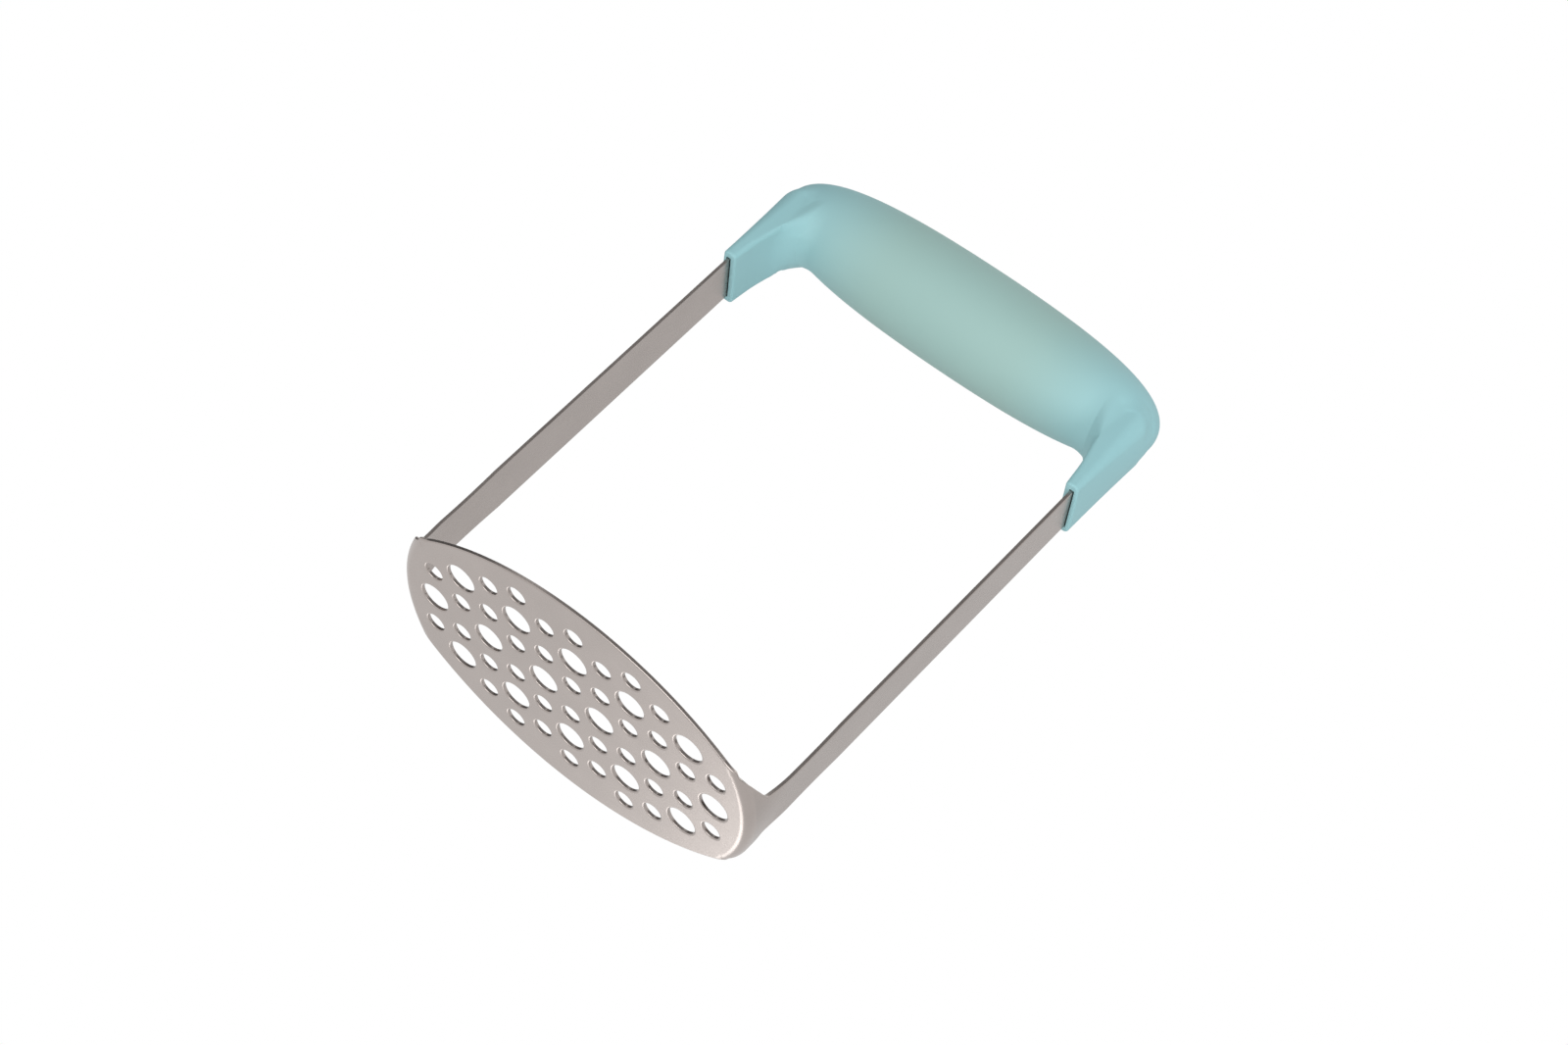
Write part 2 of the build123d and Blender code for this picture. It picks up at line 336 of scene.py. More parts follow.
def well_inside(points, loop, margin):
    """Which points lie inside a loop and clear of it."""
    x, y = points[:, 0][:, None], points[:, 1][:, None]
    a, b = loop, np.roll(loop, -1, axis=0)
    crosses = (a[:, 1] > y) != (b[:, 1] > y)
    with np.errstate(divide="ignore", invalid="ignore"):
        at = (b[:, 0] - a[:, 0]) * (y - a[:, 1]) / (b[:, 1] - a[:, 1]) + a[:, 0]
    inside = (crosses & (x < at)).sum(axis=1) % 2 == 1
    run = b - a
    along = ((x - a[:, 0]) * run[:, 0] + (y - a[:, 1]) * run[:, 1]) / (run ** 2).sum(axis=1)
    along = np.clip(along, 0, 1)
    off = np.hypot(x - a[:, 0] - along * run[:, 0], y - a[:, 1] - along * run[:, 1])
    return inside & (off.min(axis=1) > margin)


def fill(loops, extra):
    """Triangles between an outline and its holes, and the points that were added for them."""
    points = np.concatenate(loops + [extra])
    starts = np.cumsum([0] + [len(loop) for loop in loops])
    faces = [list(range(starts[k], starts[k + 1])) for k in range(len(loops))]
    faces = [faces[0]] + [face[::-1] for face in faces[1:]]
    flat = [Vector(p) for p in points]
    _, _, triangles, came_from, _, within = delaunay_2d_cdt(flat, [], faces, 0, 1e-7)
    number = [origin[0] if origin else -1 for origin in came_from]
    assert min(number) >= 0, "the loops cross each other"
    kept = [[number[i] for i in t] for t, w in zip(triangles, within) if list(w) == [0]]
    return kept


loops = [outline] + hole_loops
bends = bend_points()
bends = bends[well_inside(bends, outline, 0.8)]
print(len(bends), "extra points for the bends")

# %% [markdown]
# ## Bending
# Bending is a rule that takes a point of the blank to its place: it stays put on the head, turns
# through a quarter circle at the fold, and climbs the wall, which is round in plan at the fold
# and flat higher up the strap. The same rule turns the directions, so that the shading is exact.

# %% The rule that bends the sheet
def wall_middle(v, z):
    """X of the middle of the sheet on the wall, at a place across and a height."""
    lean = head_length / 2 - sheet / 2 + strap_lean_per_height * z
    middle = end_wall_radius - sheet / 2
    rounded = wall_centre + np.sqrt(middle ** 2 - v ** 2)
    share = np.clip((z - fold_outside_radius) / (flat_start_height - fold_outside_radius), 0, 1)
    ease = share * share * (3 - 2 * share)
    return rounded * (1 - ease) + lean * ease


def bent(points, height, direction):
    """Places and directions of blank points after bending, all in millimetres."""
    way = np.where(points[:, 0] < 0, -1.0, 1.0)
    u, v = np.abs(points[:, 0]), points[:, 1]
    across, along = direction[:, 1], direction[:, 0] * way
    up = direction[:, 2]
    past = np.where(np.abs(v) < fold_start_radius, u - fold_start(np.clip(v, -40, 40)), -1.0)
    zero, one = np.zeros_like(u), np.ones_like(u)
    place = np.stack([u, v, height], axis=1)
    normal = np.stack([zero, zero, one], axis=1)
    ahead = np.stack([one, zero, zero], axis=1)

    turned = np.clip(past / fold_middle_radius, 0, math.pi / 2)
    sin, cos = np.sin(turned), np.cos(turned)
    middle = fold_start_radius + fold_middle_radius * sin
    side = np.clip(v / middle, -1, 1)
    front = np.sqrt(1 - side ** 2)
    r = fold_start_radius + (fold_outside_radius - height) * sin
    folded = np.stack([wall_centre + r * front, r * side,
                       fold_outside_radius - (fold_outside_radius - height) * cos], axis=1)
    fold_normal = np.stack([-sin * front, -sin * side, cos], axis=1)
    fold_ahead = np.stack([cos * front, cos * side, sin], axis=1)
    on_fold = past > 0
    place[on_fold] = folded[on_fold]
    normal[on_fold], ahead[on_fold] = fold_normal[on_fold], fold_ahead[on_fold]

    on_wall = past > fold_length
    z = fold_outside_radius + past - fold_length
    step = 0.01
    x = wall_middle(v, z)
    rise = (wall_middle(v, z + step) - x) / step
    swing = (wall_middle(v + step, z) - x) / step
    wall_normal = np.stack([-one, swing, rise], axis=1)
    wall_normal /= np.linalg.norm(wall_normal, axis=1)[:, None]
    wall_ahead = np.stack([rise, zero, one], axis=1)
    wall_ahead /= np.linalg.norm(wall_ahead, axis=1)[:, None]
    wall = np.stack([x, v, z], axis=1) + (height - sheet / 2)[:, None] * wall_normal
    place[on_wall] = wall[on_wall]
    normal[on_wall], ahead[on_wall] = wall_normal[on_wall], wall_ahead[on_wall]

    sideways = np.cross(normal, ahead)
    facing = along[:, None] * ahead + across[:, None] * sideways + up[:, None] * normal
    place[:, 0] *= way
    facing[:, 0] *= way
    return place, facing


strap_end = bent(np.array([[blank_length / 2, 0.0]]), np.zeros(1), np.eye(3)[:1])[0][0]
print("the strap's end is bent to", [round(float(c), 1) for c in strap_end], "mm")

# %% [markdown]
# Now the piece is put together: two filled sides and the rows across every edge. Each point
# keeps its place in the blank as a UV map, so the grain of the sheet can run along it and turn
# up with the straps, and its exact direction, so that rolled edges shade as true curves.

# %% The steel frame
def steel_frame_mesh():
    """Blank with rolled edges, bent to shape."""
    points, heights, directions, faces = [], [], [], []
    loop_starts = []
    for loop in loops:
        away, stretch = outward(loop)
        first = sum(len(p) for p in points)
        loop_starts.append((first, len(loop)))
        for inset, height, out, up in edge_rows:
            points.append(loop - away * (stretch * inset)[:, None])
            heights.append(np.full(len(loop), height))
            directions.append(np.column_stack([away * out, np.full(len(loop), up)]))
        for row in range(len(edge_rows) - 1):
            low, high = first + row * len(loop), first + (row + 1) * len(loop)
            for k in range(len(loop)):
                after = (k + 1) % len(loop)
                faces.append((low + k, low + after, high + after, high + k))
    for row, height, up in ((0, 0.0, -1.0), (len(edge_rows) - 1, sheet, 1.0)):
        side_loops = []
        numbers = []
        for loop, (first, count) in zip(loops, loop_starts):
            away, stretch = outward(loop)
            side_loops.append(loop - away * (stretch * edge_rows[row][0])[:, None])
            numbers += range(first + row * count, first + (row + 1) * count)
        triangles = fill(side_loops, bends)
        first = sum(len(p) for p in points)
        numbers += range(first, first + len(bends))
        points.append(bends)
        heights.append(np.full(len(bends), height))
        directions.append(np.tile((0.0, 0.0, up), (len(bends), 1)))
        for a, b, c in triangles:
            corner = (numbers[a], numbers[b], numbers[c])
            faces.append(corner if up > 0 else corner[::-1])
    blank = np.concatenate(points)
    place, facing = bent(blank, np.concatenate(heights), np.concatenate(directions))
    mesh = mesh_from("steel_frame", place, faces)
    grain = mesh.uv_layers.new(name="blank")
    corners = np.zeros(len(mesh.loops), int)
    mesh.loops.foreach_get("vertex_index", corners)
    grain.data.foreach_set("uv", (blank[corners] * mm * 10).ravel())
    for polygon in mesh.polygons:
        polygon.use_smooth = True
    facing /= np.linalg.norm(facing, axis=1)[:, None]
    mesh.normals_split_custom_set_from_vertices([tuple(n) for n in facing])
    return mesh


steel_frame = new_object("steel_frame", steel_frame_mesh())
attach(steel_frame, "root")
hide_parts("blade_frame")
print("steel frame has", len(steel_frame.data.polygons), "faces")

# %% [markdown]
# ## The grip
# The grip is a barrel with a leg at each end that takes the strap. It is moulded, so the barrel
# runs into the legs without a seam and every edge is soft. Drawing such blends face by face is
# slow, so the form is written as a rule instead: for any point, how far outside the grip it lies.
# Distances like that add up easily, and a blend between two shapes is one line of arithmetic.

# %% Barrel
grip_axis_height = 154.9
grip_radius = 15.1
grip_half_length = 59.4
end_handle_share = 0.73
middle_handle_share = 0.72
guess_count, search_rounds, most_turn_back = 25, 4, -20


def barrel_curve(t):
    """Place, speed and turn along half the barrel's profile, from its end to its middle."""
    ends = np.array([(grip_half_length, 0), (grip_half_length, end_handle_share * grip_radius),
                     (middle_handle_share * grip_half_length, grip_radius), (0, grip_radius)])
    t = np.asarray(t, float)[..., None]
    first, second = np.diff(ends, axis=0), np.diff(ends, n=2, axis=0)
    place = ((1 - t) ** 3 * ends[0] + 3 * (1 - t) ** 2 * t * ends[1]
             + 3 * (1 - t) * t ** 2 * ends[2] + t ** 3 * ends[3])
    speed = 3 * ((1 - t) ** 2 * first[0] + 2 * (1 - t) * t * first[1] + t ** 2 * first[2])
    turn = 6 * ((1 - t) * second[0] + t * second[1])
    return place, speed, turn


def barrel_rule(p):
    """How far points lie outside the barrel, and the direction away from it."""
    around = np.hypot(p[:, 1], p[:, 2] - grip_axis_height)
    spot = np.stack([np.abs(p[:, 0]), around], axis=1)
    guesses = np.linspace(0, 1, guess_count)
    away = [np.hypot(*(spot - barrel_curve(g)[0]).T) for g in guesses]
    t = guesses[np.argmin(away, axis=0)]
    for _ in range(search_rounds):
        place, speed, turn = barrel_curve(t)
        off = place - spot
        pull = (off * speed).sum(axis=1)
        growth = (speed ** 2).sum(axis=1) + np.maximum((off * turn).sum(axis=1), most_turn_back)
        t = np.clip(t - pull / growth, 0, 1)
    place, speed, _ = barrel_curve(t)
    normal = np.stack([speed[:, 1], -speed[:, 0]], axis=1)
    normal /= np.linalg.norm(normal, axis=1)[:, None]
    distance = ((spot - place) * normal).sum(axis=1)
    around = np.maximum(around, 1e-6)
    facing = np.stack([normal[:, 0] * np.sign(p[:, 0]), normal[:, 1] * p[:, 1] / around,
                       normal[:, 1] * (p[:, 2] - grip_axis_height) / around], axis=1)
    return distance, facing


print("barrel is", 2 * grip_half_length, "mm long and", 2 * grip_radius, "mm thick")

# %% [markdown]
# A leg is what is left between five faces: the inner face, which slants into the barrel above
# the arch, the swelling outer face, the sloping shoulder, the two flat sides, which turn into a
# round top above the axis, and the mouth. The long edges are crisp at the mouth and grow rounder
# as they rise, so the photograph's bright line along them fades out before the barrel.

# %% Legs
mouth_height = 123.6
leg_half_width = 9.6
leg_inside_at_mouth, leg_outside_at_mouth, swell_at_mouth = 52.9, 56.6, 0.2
leg_outside_at_crest, swell_at_crest, crest_height = 57.6, 2.6, 162.8
leg_inside_at_arch, arch_height, arch_ease = 51.1, 141.0, 4.0
leg_root, root_height = 46.4, 150.5
shoulder_x, shoulder_height, shoulder_ease = 59.38, 153.3, 3.1
inner_edge_radius, mouth_edge_radius = 1.2, 0.5
outer_edge_radius_at_mouth, outer_edge_radius_at_crest = 1.3, 4.5


def round_edge(a, b, radius):
    """Where two faces meet on the outside, with their edge rounded."""
    both = (a > -radius) & (b > -radius)
    return np.where(both, np.hypot(a + radius, b + radius) - radius, np.maximum(a, b))


def round_corner(a, b, radius):
    """Where two shapes join, with the inner corner between them filled to a radius."""
    radius = np.maximum(radius, 1e-6)
    both = (a < radius) & (b < radius)
    return np.where(both, radius - np.hypot(radius - a, radius - b), np.minimum(a, b))


def outside_line(x, z, first, second):
    """Distance to the left of a line that runs from one place to another."""
    dx, dz = second[0] - first[0], second[1] - first[1]
    return ((z - first[1]) * dx - (x - first[0]) * dz) / math.hypot(dx, dz)


def outside_leg(p, softer=0.0):
    """How far points lie outside the leg at their own end of the grip."""
    x, y, z = np.abs(p[:, 0]), p[:, 1], p[:, 2]
    risen = (z - mouth_height) / (crest_height - mouth_height)
    bow = swell_at_mouth + (swell_at_crest - swell_at_mouth) * risen
    outer = x - leg_outside_at_mouth - (leg_outside_at_crest - leg_outside_at_mouth) * risen
    outer = outer - bow * (1 - np.clip(y / leg_half_width, -1, 1) ** 2)
    top = outside_line(x, z, (leg_root, crest_height), (shoulder_x, shoulder_height))
    over = np.maximum(z - grip_axis_height, 0)
    sides = np.hypot(y, over) - leg_half_width
    mouth, arch = (leg_inside_at_mouth, mouth_height), (leg_inside_at_arch, arch_height)
    low_inner = outside_line(x, z, mouth, arch)
    high_inner = outside_line(x, z, arch, (leg_root, root_height))
    inner = round_corner(low_inner, high_inner, arch_ease)
    grown = np.interp(risen, (0, 1), (outer_edge_radius_at_mouth, outer_edge_radius_at_crest))
    leg = round_edge(round_edge(outer, top, shoulder_ease), sides, grown + softer)
    leg = round_edge(leg, inner, inner_edge_radius + softer)
    return round_edge(leg, mouth_height - z, mouth_edge_radius)


def leg_rule(p, softer=0.0, step=0.02):
    """How far points lie outside the leg, and the direction away from it."""
    rise = [outside_leg(p + step * way, softer) - outside_leg(p - step * way, softer)
            for way in np.eye(3)]
    rise = np.stack(rise, axis=1)
    return outside_leg(p, softer), rise / np.maximum(np.linalg.norm(rise, axis=1), 1e-9)[:, None]


mouth_thickness = round(leg_outside_at_mouth - leg_inside_at_mouth, 1)
print("leg is", 2 * leg_half_width, "mm wide and", mouth_thickness, "mm thick at its mouth")

# %% [markdown]
# The blend is widest where leg and barrel meet squarely, under the arch, and nearly nothing where
# they run alongside each other, at the flat sides. So its radius follows the angle between them.

# %% The whole grip as one rule
blend_radius, least_blend_radius = 9.0, 0.3
softening = 3.0


def grip_rule(p):
    """How far points lie outside the grip, and the direction away from it."""
    barrel, barrel_facing = barrel_rule(p)
    leg, leg_facing = leg_rule(p)
    soft_facing = leg_rule(p, softer=softening)[1]
    agree = (barrel_facing * soft_facing).sum(axis=1)
    radius = np.maximum(blend_radius * np.clip(1 - agree, 0, 1), least_blend_radius)
    distance = round_corner(barrel, leg, radius)
    share = np.where(barrel < leg, 1.0, 0.0)
    blended = (barrel < radius) & (leg < radius)
    one, two = np.maximum(radius - barrel, 0), np.maximum(radius - leg, 0)
    share[blended] = (one / np.maximum(one + two, 1e-9))[blended]
    facing = share[:, None] * barrel_facing + (1 - share)[:, None] * leg_facing
    return distance, facing / np.maximum(np.linalg.norm(facing, axis=1), 1e-9)[:, None]


print("blend under the arch is up to", blend_radius, "mm")

# %% [markdown]
# A rule is not a surface yet. Rough closed blocks of the barrel and both legs are wrapped in one
# even skin by Blender's voxel remesh, and each point of the skin is then drawn onto the rule
# along the rule's own direction there. The skin is shaded smooth.

# %% One skin
voxel = 0.45
leg_levels = [(mouth_height, leg_inside_at_mouth, leg_outside_at_mouth),
              (arch_height, leg_inside_at_arch, leg_outside_at_crest),
              (root_height, leg_root, shoulder_x), (shoulder_height, leg_root, shoulder_x),
              (crest_height, leg_root, leg_root + 1)]


def lathe(rows, sides):
    """Closed body turned from rows of distance and radius."""
    points, faces = [], []
    for x, r in rows:
        for k in range(sides):
            angle = 2 * math.pi * k / sides
            points.append((x, r * math.sin(angle), grip_axis_height + r * math.cos(angle)))
    for row in range(len(rows) - 1):
        low, high = row * sides, (row + 1) * sides
        for k in range(sides):
            after = (k + 1) % sides
            faces.append((low + k, high + k, high + after, low + after))
    faces += [tuple(range(sides)), tuple(reversed(range(len(points) - sides, len(points))))]
    return points, faces


def rough_leg(way):
    """Leg as a stack of plain oblongs."""
    points, faces = [], []
    for z, low, high in leg_levels:
        half = math.sqrt(leg_half_width ** 2 - max(0.0, z - grip_axis_height) ** 2)
        points += [(way * x, y, z) for x, y in ((low, -half), (high, -half), (high, half), (low, half))]
    for row in range(len(leg_levels) - 1):
        low, high = 4 * row, 4 * row + 4
        faces += [(low + k, low + (k + 1) % 4, high + (k + 1) % 4, high + k) for k in range(4)]
    faces += [(3, 2, 1, 0), tuple(range(len(points) - 4, len(points)))]
    return points, [face if way > 0 else face[::-1] for face in faces]


def applied(source):
    """Take an object's mesh as its modifiers leave it."""
    seen = source.evaluated_get(bpy.context.evaluated_depsgraph_get())
    mesh = bpy.data.meshes.new_from_object(seen)
    source.modifiers.clear()
    source.data = mesh
    return source


def wrapped():
    """Barrel and legs in one even skin."""
    half = barrel_curve(np.linspace(0.02, 1, 40))[0]
    rows = np.concatenate([half * (-1, 1), half[::-1][1:]])
    points, faces = lathe(rows, 96)
    for way in (1, -1):
        more, leg_faces = rough_leg(way)
        faces += [tuple(len(points) + i for i in face) for face in leg_faces]
        points += more
    made = new_object("grip", mesh_from("grip", points, faces))
    wrap = made.modifiers.new("wrap", "REMESH")
    wrap.mode = "VOXEL"
    wrap.voxel_size = voxel * mm
    return applied(made)


def drawn_onto_rule(points, turns):
    """Points moved along the rule's own directions until they lie on the grip."""
    for _ in range(turns):
        distance, facing = grip_rule(points)
        points = points - distance[:, None] * facing
    return points, float(np.abs(distance).max())


grip = wrapped()
for turn in range(3):
    skin = np.zeros(len(grip.data.vertices) * 3)
    grip.data.vertices.foreach_get("co", skin)
    skin, gap = drawn_onto_rule(skin.reshape(-1, 3) / mm, 4)
    grip.data.vertices.foreach_set("co", (skin * mm).ravel())
    grip.data.update()
    print("skin drawn onto the rule, largest gap left", round(gap, 3), "mm")
    if turn < 2:
        even = grip.modifiers.new("even", "SMOOTH")
        even.factor = 0.5
        even.iterations = 2
        applied(grip)

# %% [markdown]
# The straps go up into a slot in each mouth. The slot is a little larger than the strap, which
# leaves the thin dark line seen round it, and a Boolean cuts it as a core pin in the mould would.

# %% Slots for the straps
slot_gap = 0.22
slot_depth = 26.0


def slot_cutter():
    """Two thin blocks that lean as the straps do."""
    points, faces = [], []
    for way in (1, -1):
        for z in (mouth_height - 3.0, mouth_height + slot_depth):
            middle = head_length / 2 - sheet / 2 + strap_lean_per_height * z
            half = sheet / 2 + slot_gap
            for x, y in ((-half, -1), (half, -1), (half, 1), (-half, 1)):
                points.append((way * (middle + x), y * (strap_half_width + slot_gap), z))
        b = len(points) - 8
        sides = [(b + 3, b + 2, b + 1, b), (b + 4, b + 5, b + 6, b + 7)]
        sides += [(b + k, b + (k + 1) % 4, b + 4 + (k + 1) % 4, b + 4 + k) for k in range(4)]
        faces += sides if way > 0 else [side[::-1] for side in sides]
    return new_object("slot_cutter", mesh_from("slot_cutter", points, faces))


cutter = slot_cutter()
cut = grip.modifiers.new("slots", "BOOLEAN")
cut.operation = "DIFFERENCE"
cut.solver = "EXACT"
cut.object = cutter
applied(grip)
bpy.data.objects.remove(cutter)
for polygon in grip.data.polygons:
    polygon.use_smooth = True
grip.data.set_sharp_from_angle(angle=math.radians(50))
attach(grip, "root")
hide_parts("grip_skin")
print("grip with its slots has", len(grip.data.polygons), "faces")

# %% [markdown]
# ## Finishes
# A finish is a small set of nodes. This helper makes the material and hands back the few parts
# that every finish here needs.

# %% Helper for finishes
def finish(name):
    """New material, its nodes, its links and its main shader."""
    material = bpy.data.materials.new(name)
    material.use_nodes = True
    tree = material.node_tree
    return material, tree.nodes, tree.links, tree.nodes["Principled BSDF"]


def noise(nodes, links, place, scale, detail, roughness=0.5):
    """Cloudy pattern at a place, which is a vector socket."""
    node = nodes.new("ShaderNodeTexNoise")
    node.inputs["Scale"].default_value = scale
    node.inputs["Detail"].default_value = detail
    node.inputs["Roughness"].default_value = roughness
    links.new(place, node.inputs["Vector"])
    return node.outputs["Fac"]


def stretched(nodes, links, place, amounts):
    """Place stretched by its own amount in each direction."""
    node = nodes.new("ShaderNodeMapping")
    node.inputs["Scale"].default_value = amounts
    links.new(place, node.inputs["Vector"])
    return node.outputs["Vector"]


def to_range(nodes, links, value, low, high):
    """Value from 0 to 1 moved to a range of its own."""
    node = nodes.new("ShaderNodeMapRange")
    node.inputs["From Min"].default_value = 0.3
    node.inputs["From Max"].default_value = 0.7
    node.inputs["To Min"].default_value = low
    node.inputs["To Max"].default_value = high
    links.new(value, node.inputs["Value"])
    return node.outputs["Result"]


def blend_colours(nodes, links, share, first, second):
    """Colour that moves from one to another as a share rises."""
    node = nodes.new("ShaderNodeMix")
    node.data_type = "RGBA"
    node.inputs["A"].default_value = (*first, 1)
    node.inputs["B"].default_value = (*second, 1)
    links.new(share, node.inputs["Factor"])
    return node.outputs["Result"]


# %% [markdown]
# The steel is sheet with a fine satin grain along its length. The grain follows the blank, so it
# runs along the head and turns up the straps, as it does on the real one.

# %% Satin steel
steel, nodes, links, shader = finish("satin_steel")
shader.inputs["Metallic"].default_value = 1.0
blank_map = nodes.new("ShaderNodeUVMap")
blank_map.uv_map = "blank"
along_grain = stretched(nodes, links, blank_map.outputs["UV"], (6.0, 220.0, 1.0))
grain = noise(nodes, links, along_grain, 3.0, 3.0)
clouds = noise(nodes, links, blank_map.outputs["UV"], 9.0, 4.0)
tone = blend_colours(nodes, links, clouds, (0.36, 0.32, 0.30), (0.42, 0.375, 0.352))
links.new(tone, shader.inputs["Base Color"])
links.new(to_range(nodes, links, grain, 0.26, 0.34), shader.inputs["Roughness"])
bump = nodes.new("ShaderNodeBump")
bump.inputs["Strength"].default_value = 0.06
bump.inputs["Distance"].default_value = 0.0001
links.new(grain, bump.inputs["Height"])
links.new(bump.outputs["Normal"], shader.inputs["Normal"])
steel_frame.data.materials.append(steel)
print("steel finish has", len(nodes), "nodes")

# %% [markdown]
# The grip is a soft matte rubber in a pale turquoise. Its middle is a touch greener than its
# ends, and a fine tooth in the surface takes the shine off it.

# %% Matte turquoise rubber
rubber, nodes, links, shader = finish("matte_turquoise")
shader.inputs["Roughness"].default_value = 0.62
shader.inputs["Specular IOR Level"].default_value = 0.35
object_place = nodes.new("ShaderNodeTexCoord").outputs["Object"]
soft_clouds = noise(nodes, links, object_place, 22.0, 3.0)
split = nodes.new("ShaderNodeSeparateXYZ")
links.new(object_place, split.inputs["Vector"])
from_middle = nodes.new("ShaderNodeMath")
from_middle.operation = "ABSOLUTE"
links.new(split.outputs["X"], from_middle.inputs[0])
towards_end = nodes.new("ShaderNodeMapRange")
towards_end.interpolation_type = "SMOOTHSTEP"
towards_end.inputs["From Min"].default_value = 0.018
towards_end.inputs["From Max"].default_value = 0.056
links.new(from_middle.outputs["Value"], towards_end.inputs["Value"])
middle_tone = blend_colours(nodes, links, soft_clouds, (0.32, 0.50, 0.47), (0.36, 0.54, 0.51))
end_tone = blend_colours(nodes, links, soft_clouds, (0.29, 0.54, 0.58), (0.33, 0.58, 0.61))
tone = nodes.new("ShaderNodeMix")
tone.data_type = "RGBA"
links.new(towards_end.outputs["Result"], tone.inputs["Factor"])
links.new(middle_tone, tone.inputs["A"])
links.new(end_tone, tone.inputs["B"])
links.new(tone.outputs["Result"], shader.inputs["Base Color"])
tooth = noise(nodes, links, object_place, 2600.0, 2.0)
bump = nodes.new("ShaderNodeBump")
bump.inputs["Strength"].default_value = 0.10
bump.inputs["Distance"].default_value = 0.0001
links.new(tooth, bump.inputs["Height"])
links.new(bump.outputs["Normal"], shader.inputs["Normal"])
grip.data.materials.clear()
grip.data.materials.append(rubber)
print("rubber finish has", len(nodes), "nodes")

# %% [markdown]
# The two stiff halves inside the grip never show, but they get a plain moulded finish of their
# own, so that a cut-open view of the model is right too.

# %% Plain moulded core
moulded, nodes, links, shader = finish("plain_moulded")
shader.inputs["Roughness"].default_value = 0.5
object_place = nodes.new("ShaderNodeTexCoord").outputs["Object"]
speckle = noise(nodes, links, object_place, 900.0, 2.0)
tone = blend_colours(nodes, links, speckle, (0.07, 0.16, 0.18), (0.09, 0.19, 0.21))
links.new(tone, shader.inputs["Base Color"])
for name in ("core_front", "core_rear"):
    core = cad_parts[name]
    core.data.materials.clear()
    core.data.materials.append(moulded)
print("core finish has", len(nodes), "nodes")

# %% [markdown]
# ## Studio
# The floor is pale and plain. The camera looks up from below it, so the floor shows only from
# above, where it also takes the masher's shadow; from below one looks straight through it. It lies
# a hair under the head, because two faces at the very same height can't both be drawn.

# %% Floor
floor_half = 1.5
floor_height = -0.00005
floor_mesh = bpy.data.meshes.new("floor")
corners = [(-1, -1), (1, -1), (1, 1), (-1, 1)]
places = [(floor_half * x, floor_half * y, floor_height) for x, y in corners]
floor_mesh.from_pydata(places, [], [(0, 1, 2, 3)])
floor = new_object("floor", floor_mesh)
floor_paint, nodes, links, shader = finish("pale_floor")
shader.inputs["Base Color"].default_value = (0.9, 0.9, 0.9, 1)
shader.inputs["Roughness"].default_value = 0.9
path = nodes.new("ShaderNodeLightPath")
face_side = nodes.new("ShaderNodeNewGeometry")
front = nodes.new("ShaderNodeMath")
front.operation = "SUBTRACT"
front.inputs[0].default_value = 1.0
links.new(face_side.outputs["Backfacing"], front.inputs[1])
shown = nodes.new("ShaderNodeMath")
shown.operation = "MULTIPLY"
links.new(path.outputs["Is Camera Ray"], shown.inputs[0])
links.new(front.outputs["Value"], shown.inputs[1])
clear = nodes.new("ShaderNodeBsdfTransparent")
either = nodes.new("ShaderNodeMixShader")
links.new(shown.outputs["Value"], either.inputs["Fac"])
links.new(clear.outputs["BSDF"], either.inputs[1])
links.new(shader.outputs["BSDF"], either.inputs[2])
links.new(either.outputs["Shader"], nodes["Material Output"].inputs["Surface"])
floor_mesh.materials.append(floor_paint)
print("floor is", 2 * floor_half, "m wide")

# %% [markdown]
# The room is white where the camera, a mirror or glass looks at it, and gives a gentler light to
# everything else, so the background stays white without bleaching the grip.

# %% White room
room = bpy.data.worlds.new("white_room")
bpy.context.scene.world = room
room.use_nodes = True
nodes, links = room.node_tree.nodes, room.node_tree.links
light = nodes["Background"]
light.inputs["Color"].default_value = (1, 1, 1, 1)
light.inputs["Strength"].default_value = 0.45
white = nodes.new("ShaderNodeBackground")
white.inputs["Color"].default_value = (1, 1, 1, 1)
white.inputs["Strength"].default_value = 1.0
path = nodes.new("ShaderNodeLightPath")
either_ray = nodes.new("ShaderNodeMath")
either_ray.operation = "MAXIMUM"
links.new(path.outputs["Is Camera Ray"], either_ray.inputs[0])
links.new(path.outputs["Is Transmission Ray"], either_ray.inputs[1])
any_ray = nodes.new("ShaderNodeMath")
any_ray.operation = "MAXIMUM"
links.new(either_ray.outputs["Value"], any_ray.inputs[0])
links.new(path.outputs["Is Glossy Ray"], any_ray.inputs[1])
either = nodes.new("ShaderNodeMixShader")
links.new(any_ray.outputs["Value"], either.inputs["Fac"])
links.new(light.outputs["Background"], either.inputs[1])
links.new(white.outputs["Background"], either.inputs[2])
links.new(either.outputs["Shader"], nodes["World Output"].inputs["Surface"])
print("room lights the masher at", round(light.inputs["Strength"].default_value, 2))

# %% [markdown]
# Soft boxes light the masher: a broad one in front, one at the right-hand side that rounds off the
# grip, one above, one below in front that brightens the rolled rims of the holes, and a small one
# low behind the head that draws the bright streak along the right-hand fold.

# %% Soft boxes
def aimed(thing, place, target):
    """Put a lamp or a card at a place and turn it to face a target."""
    thing.location = place
    thing.rotation_euler = (Vector(target) - Vector(place)).to_track_quat("-Z", "Y").to_euler()
    return thing


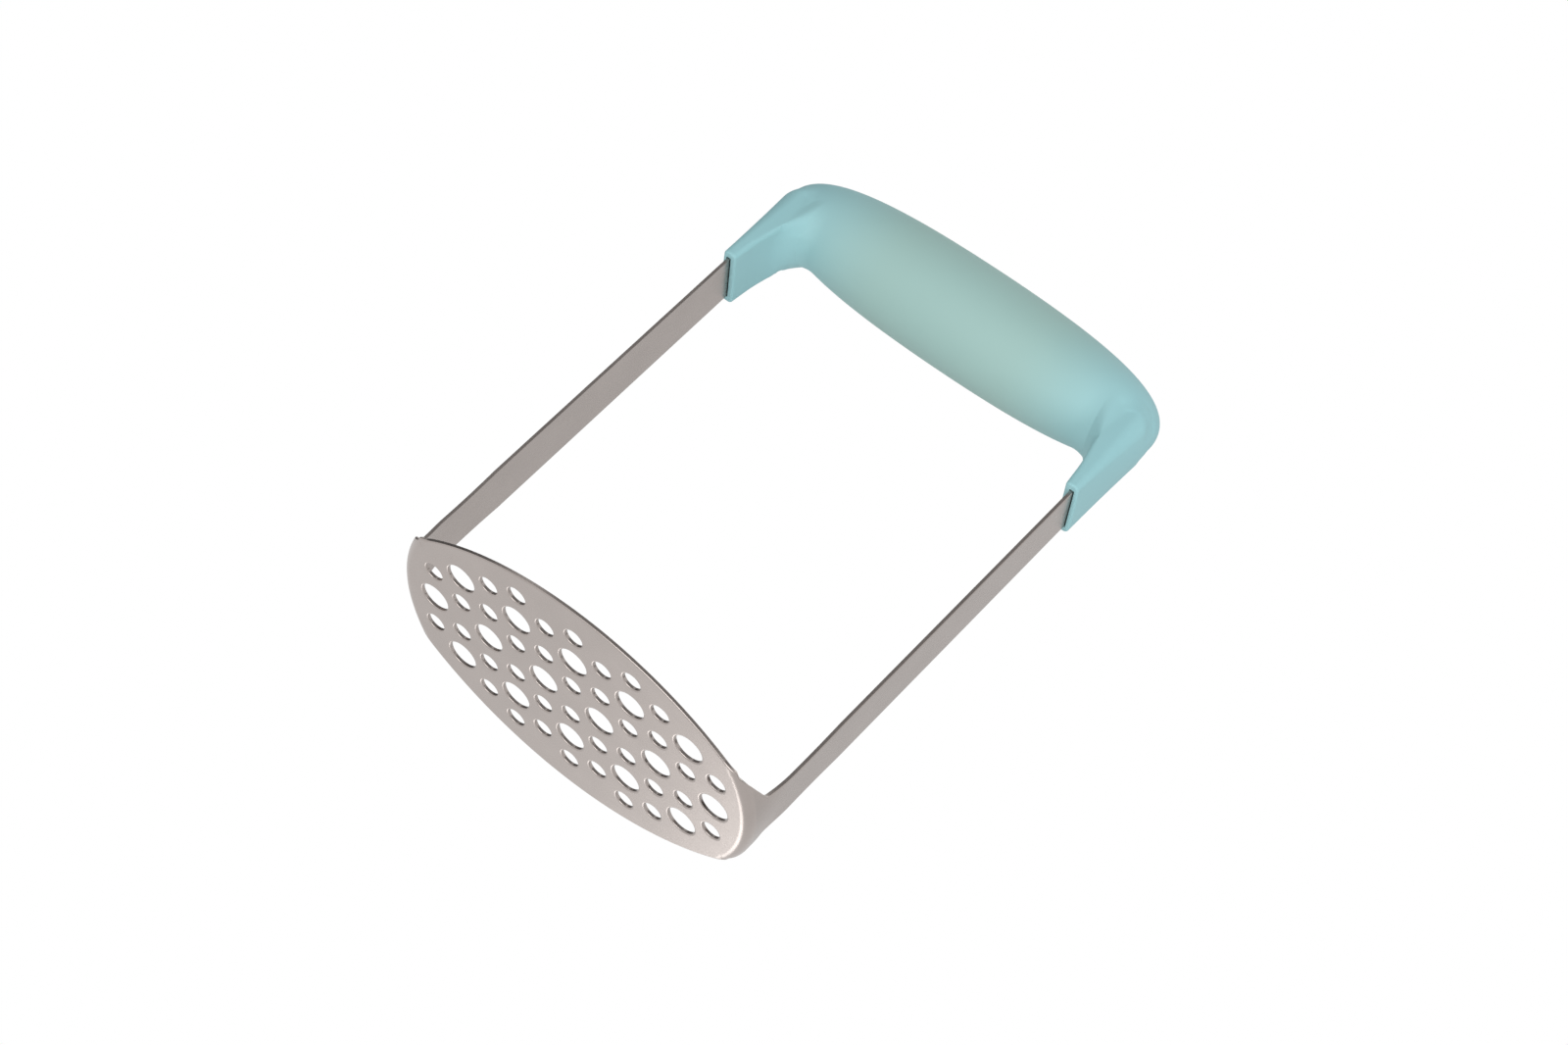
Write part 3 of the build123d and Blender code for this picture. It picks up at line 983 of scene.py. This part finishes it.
def soft_box(name, place, target, size, power):
    """Square lamp that faces a target and isn't seen itself."""
    data = bpy.data.lights.new(name, "AREA")
    data.shape = "SQUARE"
    data.size = size
    data.energy = power
    lamp = bpy.data.objects.new(name, data)
    bpy.context.scene.collection.objects.link(lamp)
    lamp.visible_camera = False
    return aimed(lamp, place, target)


front_box = soft_box("front_box", (0.10, -0.95, -0.30), (0.0, 0.0, 0.1), 0.8, 3.6)
front_box.visible_glossy = False
side_box = soft_box("side_box", (0.95, -0.35, -0.10), (0.0, 0.0, 0.1), 0.6, 3.4)
side_box.visible_glossy = False
soft_box("top_box", (0.1, -0.1, 1.0), (0.0, 0.0, 0.1), 0.7, 1.2)
soft_box("low_box", (0.15, -0.40, -0.78), (0.0, 0.0, 0.0), 0.6, 3.2)
soft_box("fold_box", (-0.10, 1.04, -0.55), (0.05, 0.0, 0.0), 0.28, 0.9)
print(len(bpy.data.lights), "soft boxes")

# %% [markdown]
# Bare metal in an all-white room looks like paper, because there is nothing for it to mirror. A
# photographer stands dark and grey cards round it. They are mirrored and do nothing else:
# they cast no shadow and the camera never sees them.

# %% Dark cards
def card(name, place, target, width, height, shade):
    """Flat card that only mirrors see."""
    mesh = bpy.data.meshes.new(name)
    w, h = width / 2, height / 2
    mesh.from_pydata([(-w, -h, 0), (w, -h, 0), (w, h, 0), (-w, h, 0)], [], [(0, 1, 2, 3)])
    paint, nodes, links, _ = finish(name)
    glow = nodes.new("ShaderNodeEmission")
    glow.inputs["Color"].default_value = (shade, shade, shade, 1)
    links.new(glow.outputs["Emission"], nodes["Material Output"].inputs["Surface"])
    mesh.materials.append(paint)
    made = aimed(new_object(name, mesh), place, target)
    made.visible_camera = False
    made.visible_diffuse = False
    made.visible_shadow = False
    made.visible_transmission = False
    return made


card("camera_side_card", (0.2, -1.2, 0.7), (0.0, 0.0, 0.0), 2.6, 1.3, 0.3)
card("left_card", (-1.1, 0.0, 0.5), (0.0, 0.0, 0.0), 1.6, 1.3, 0.15)
card("high_back_card", (0.4, 1.0, 0.75), (0.0, 0.0, 0.0), 1.4, 0.7, 0.85)
print("cards stand round the masher, seen only by mirrors")
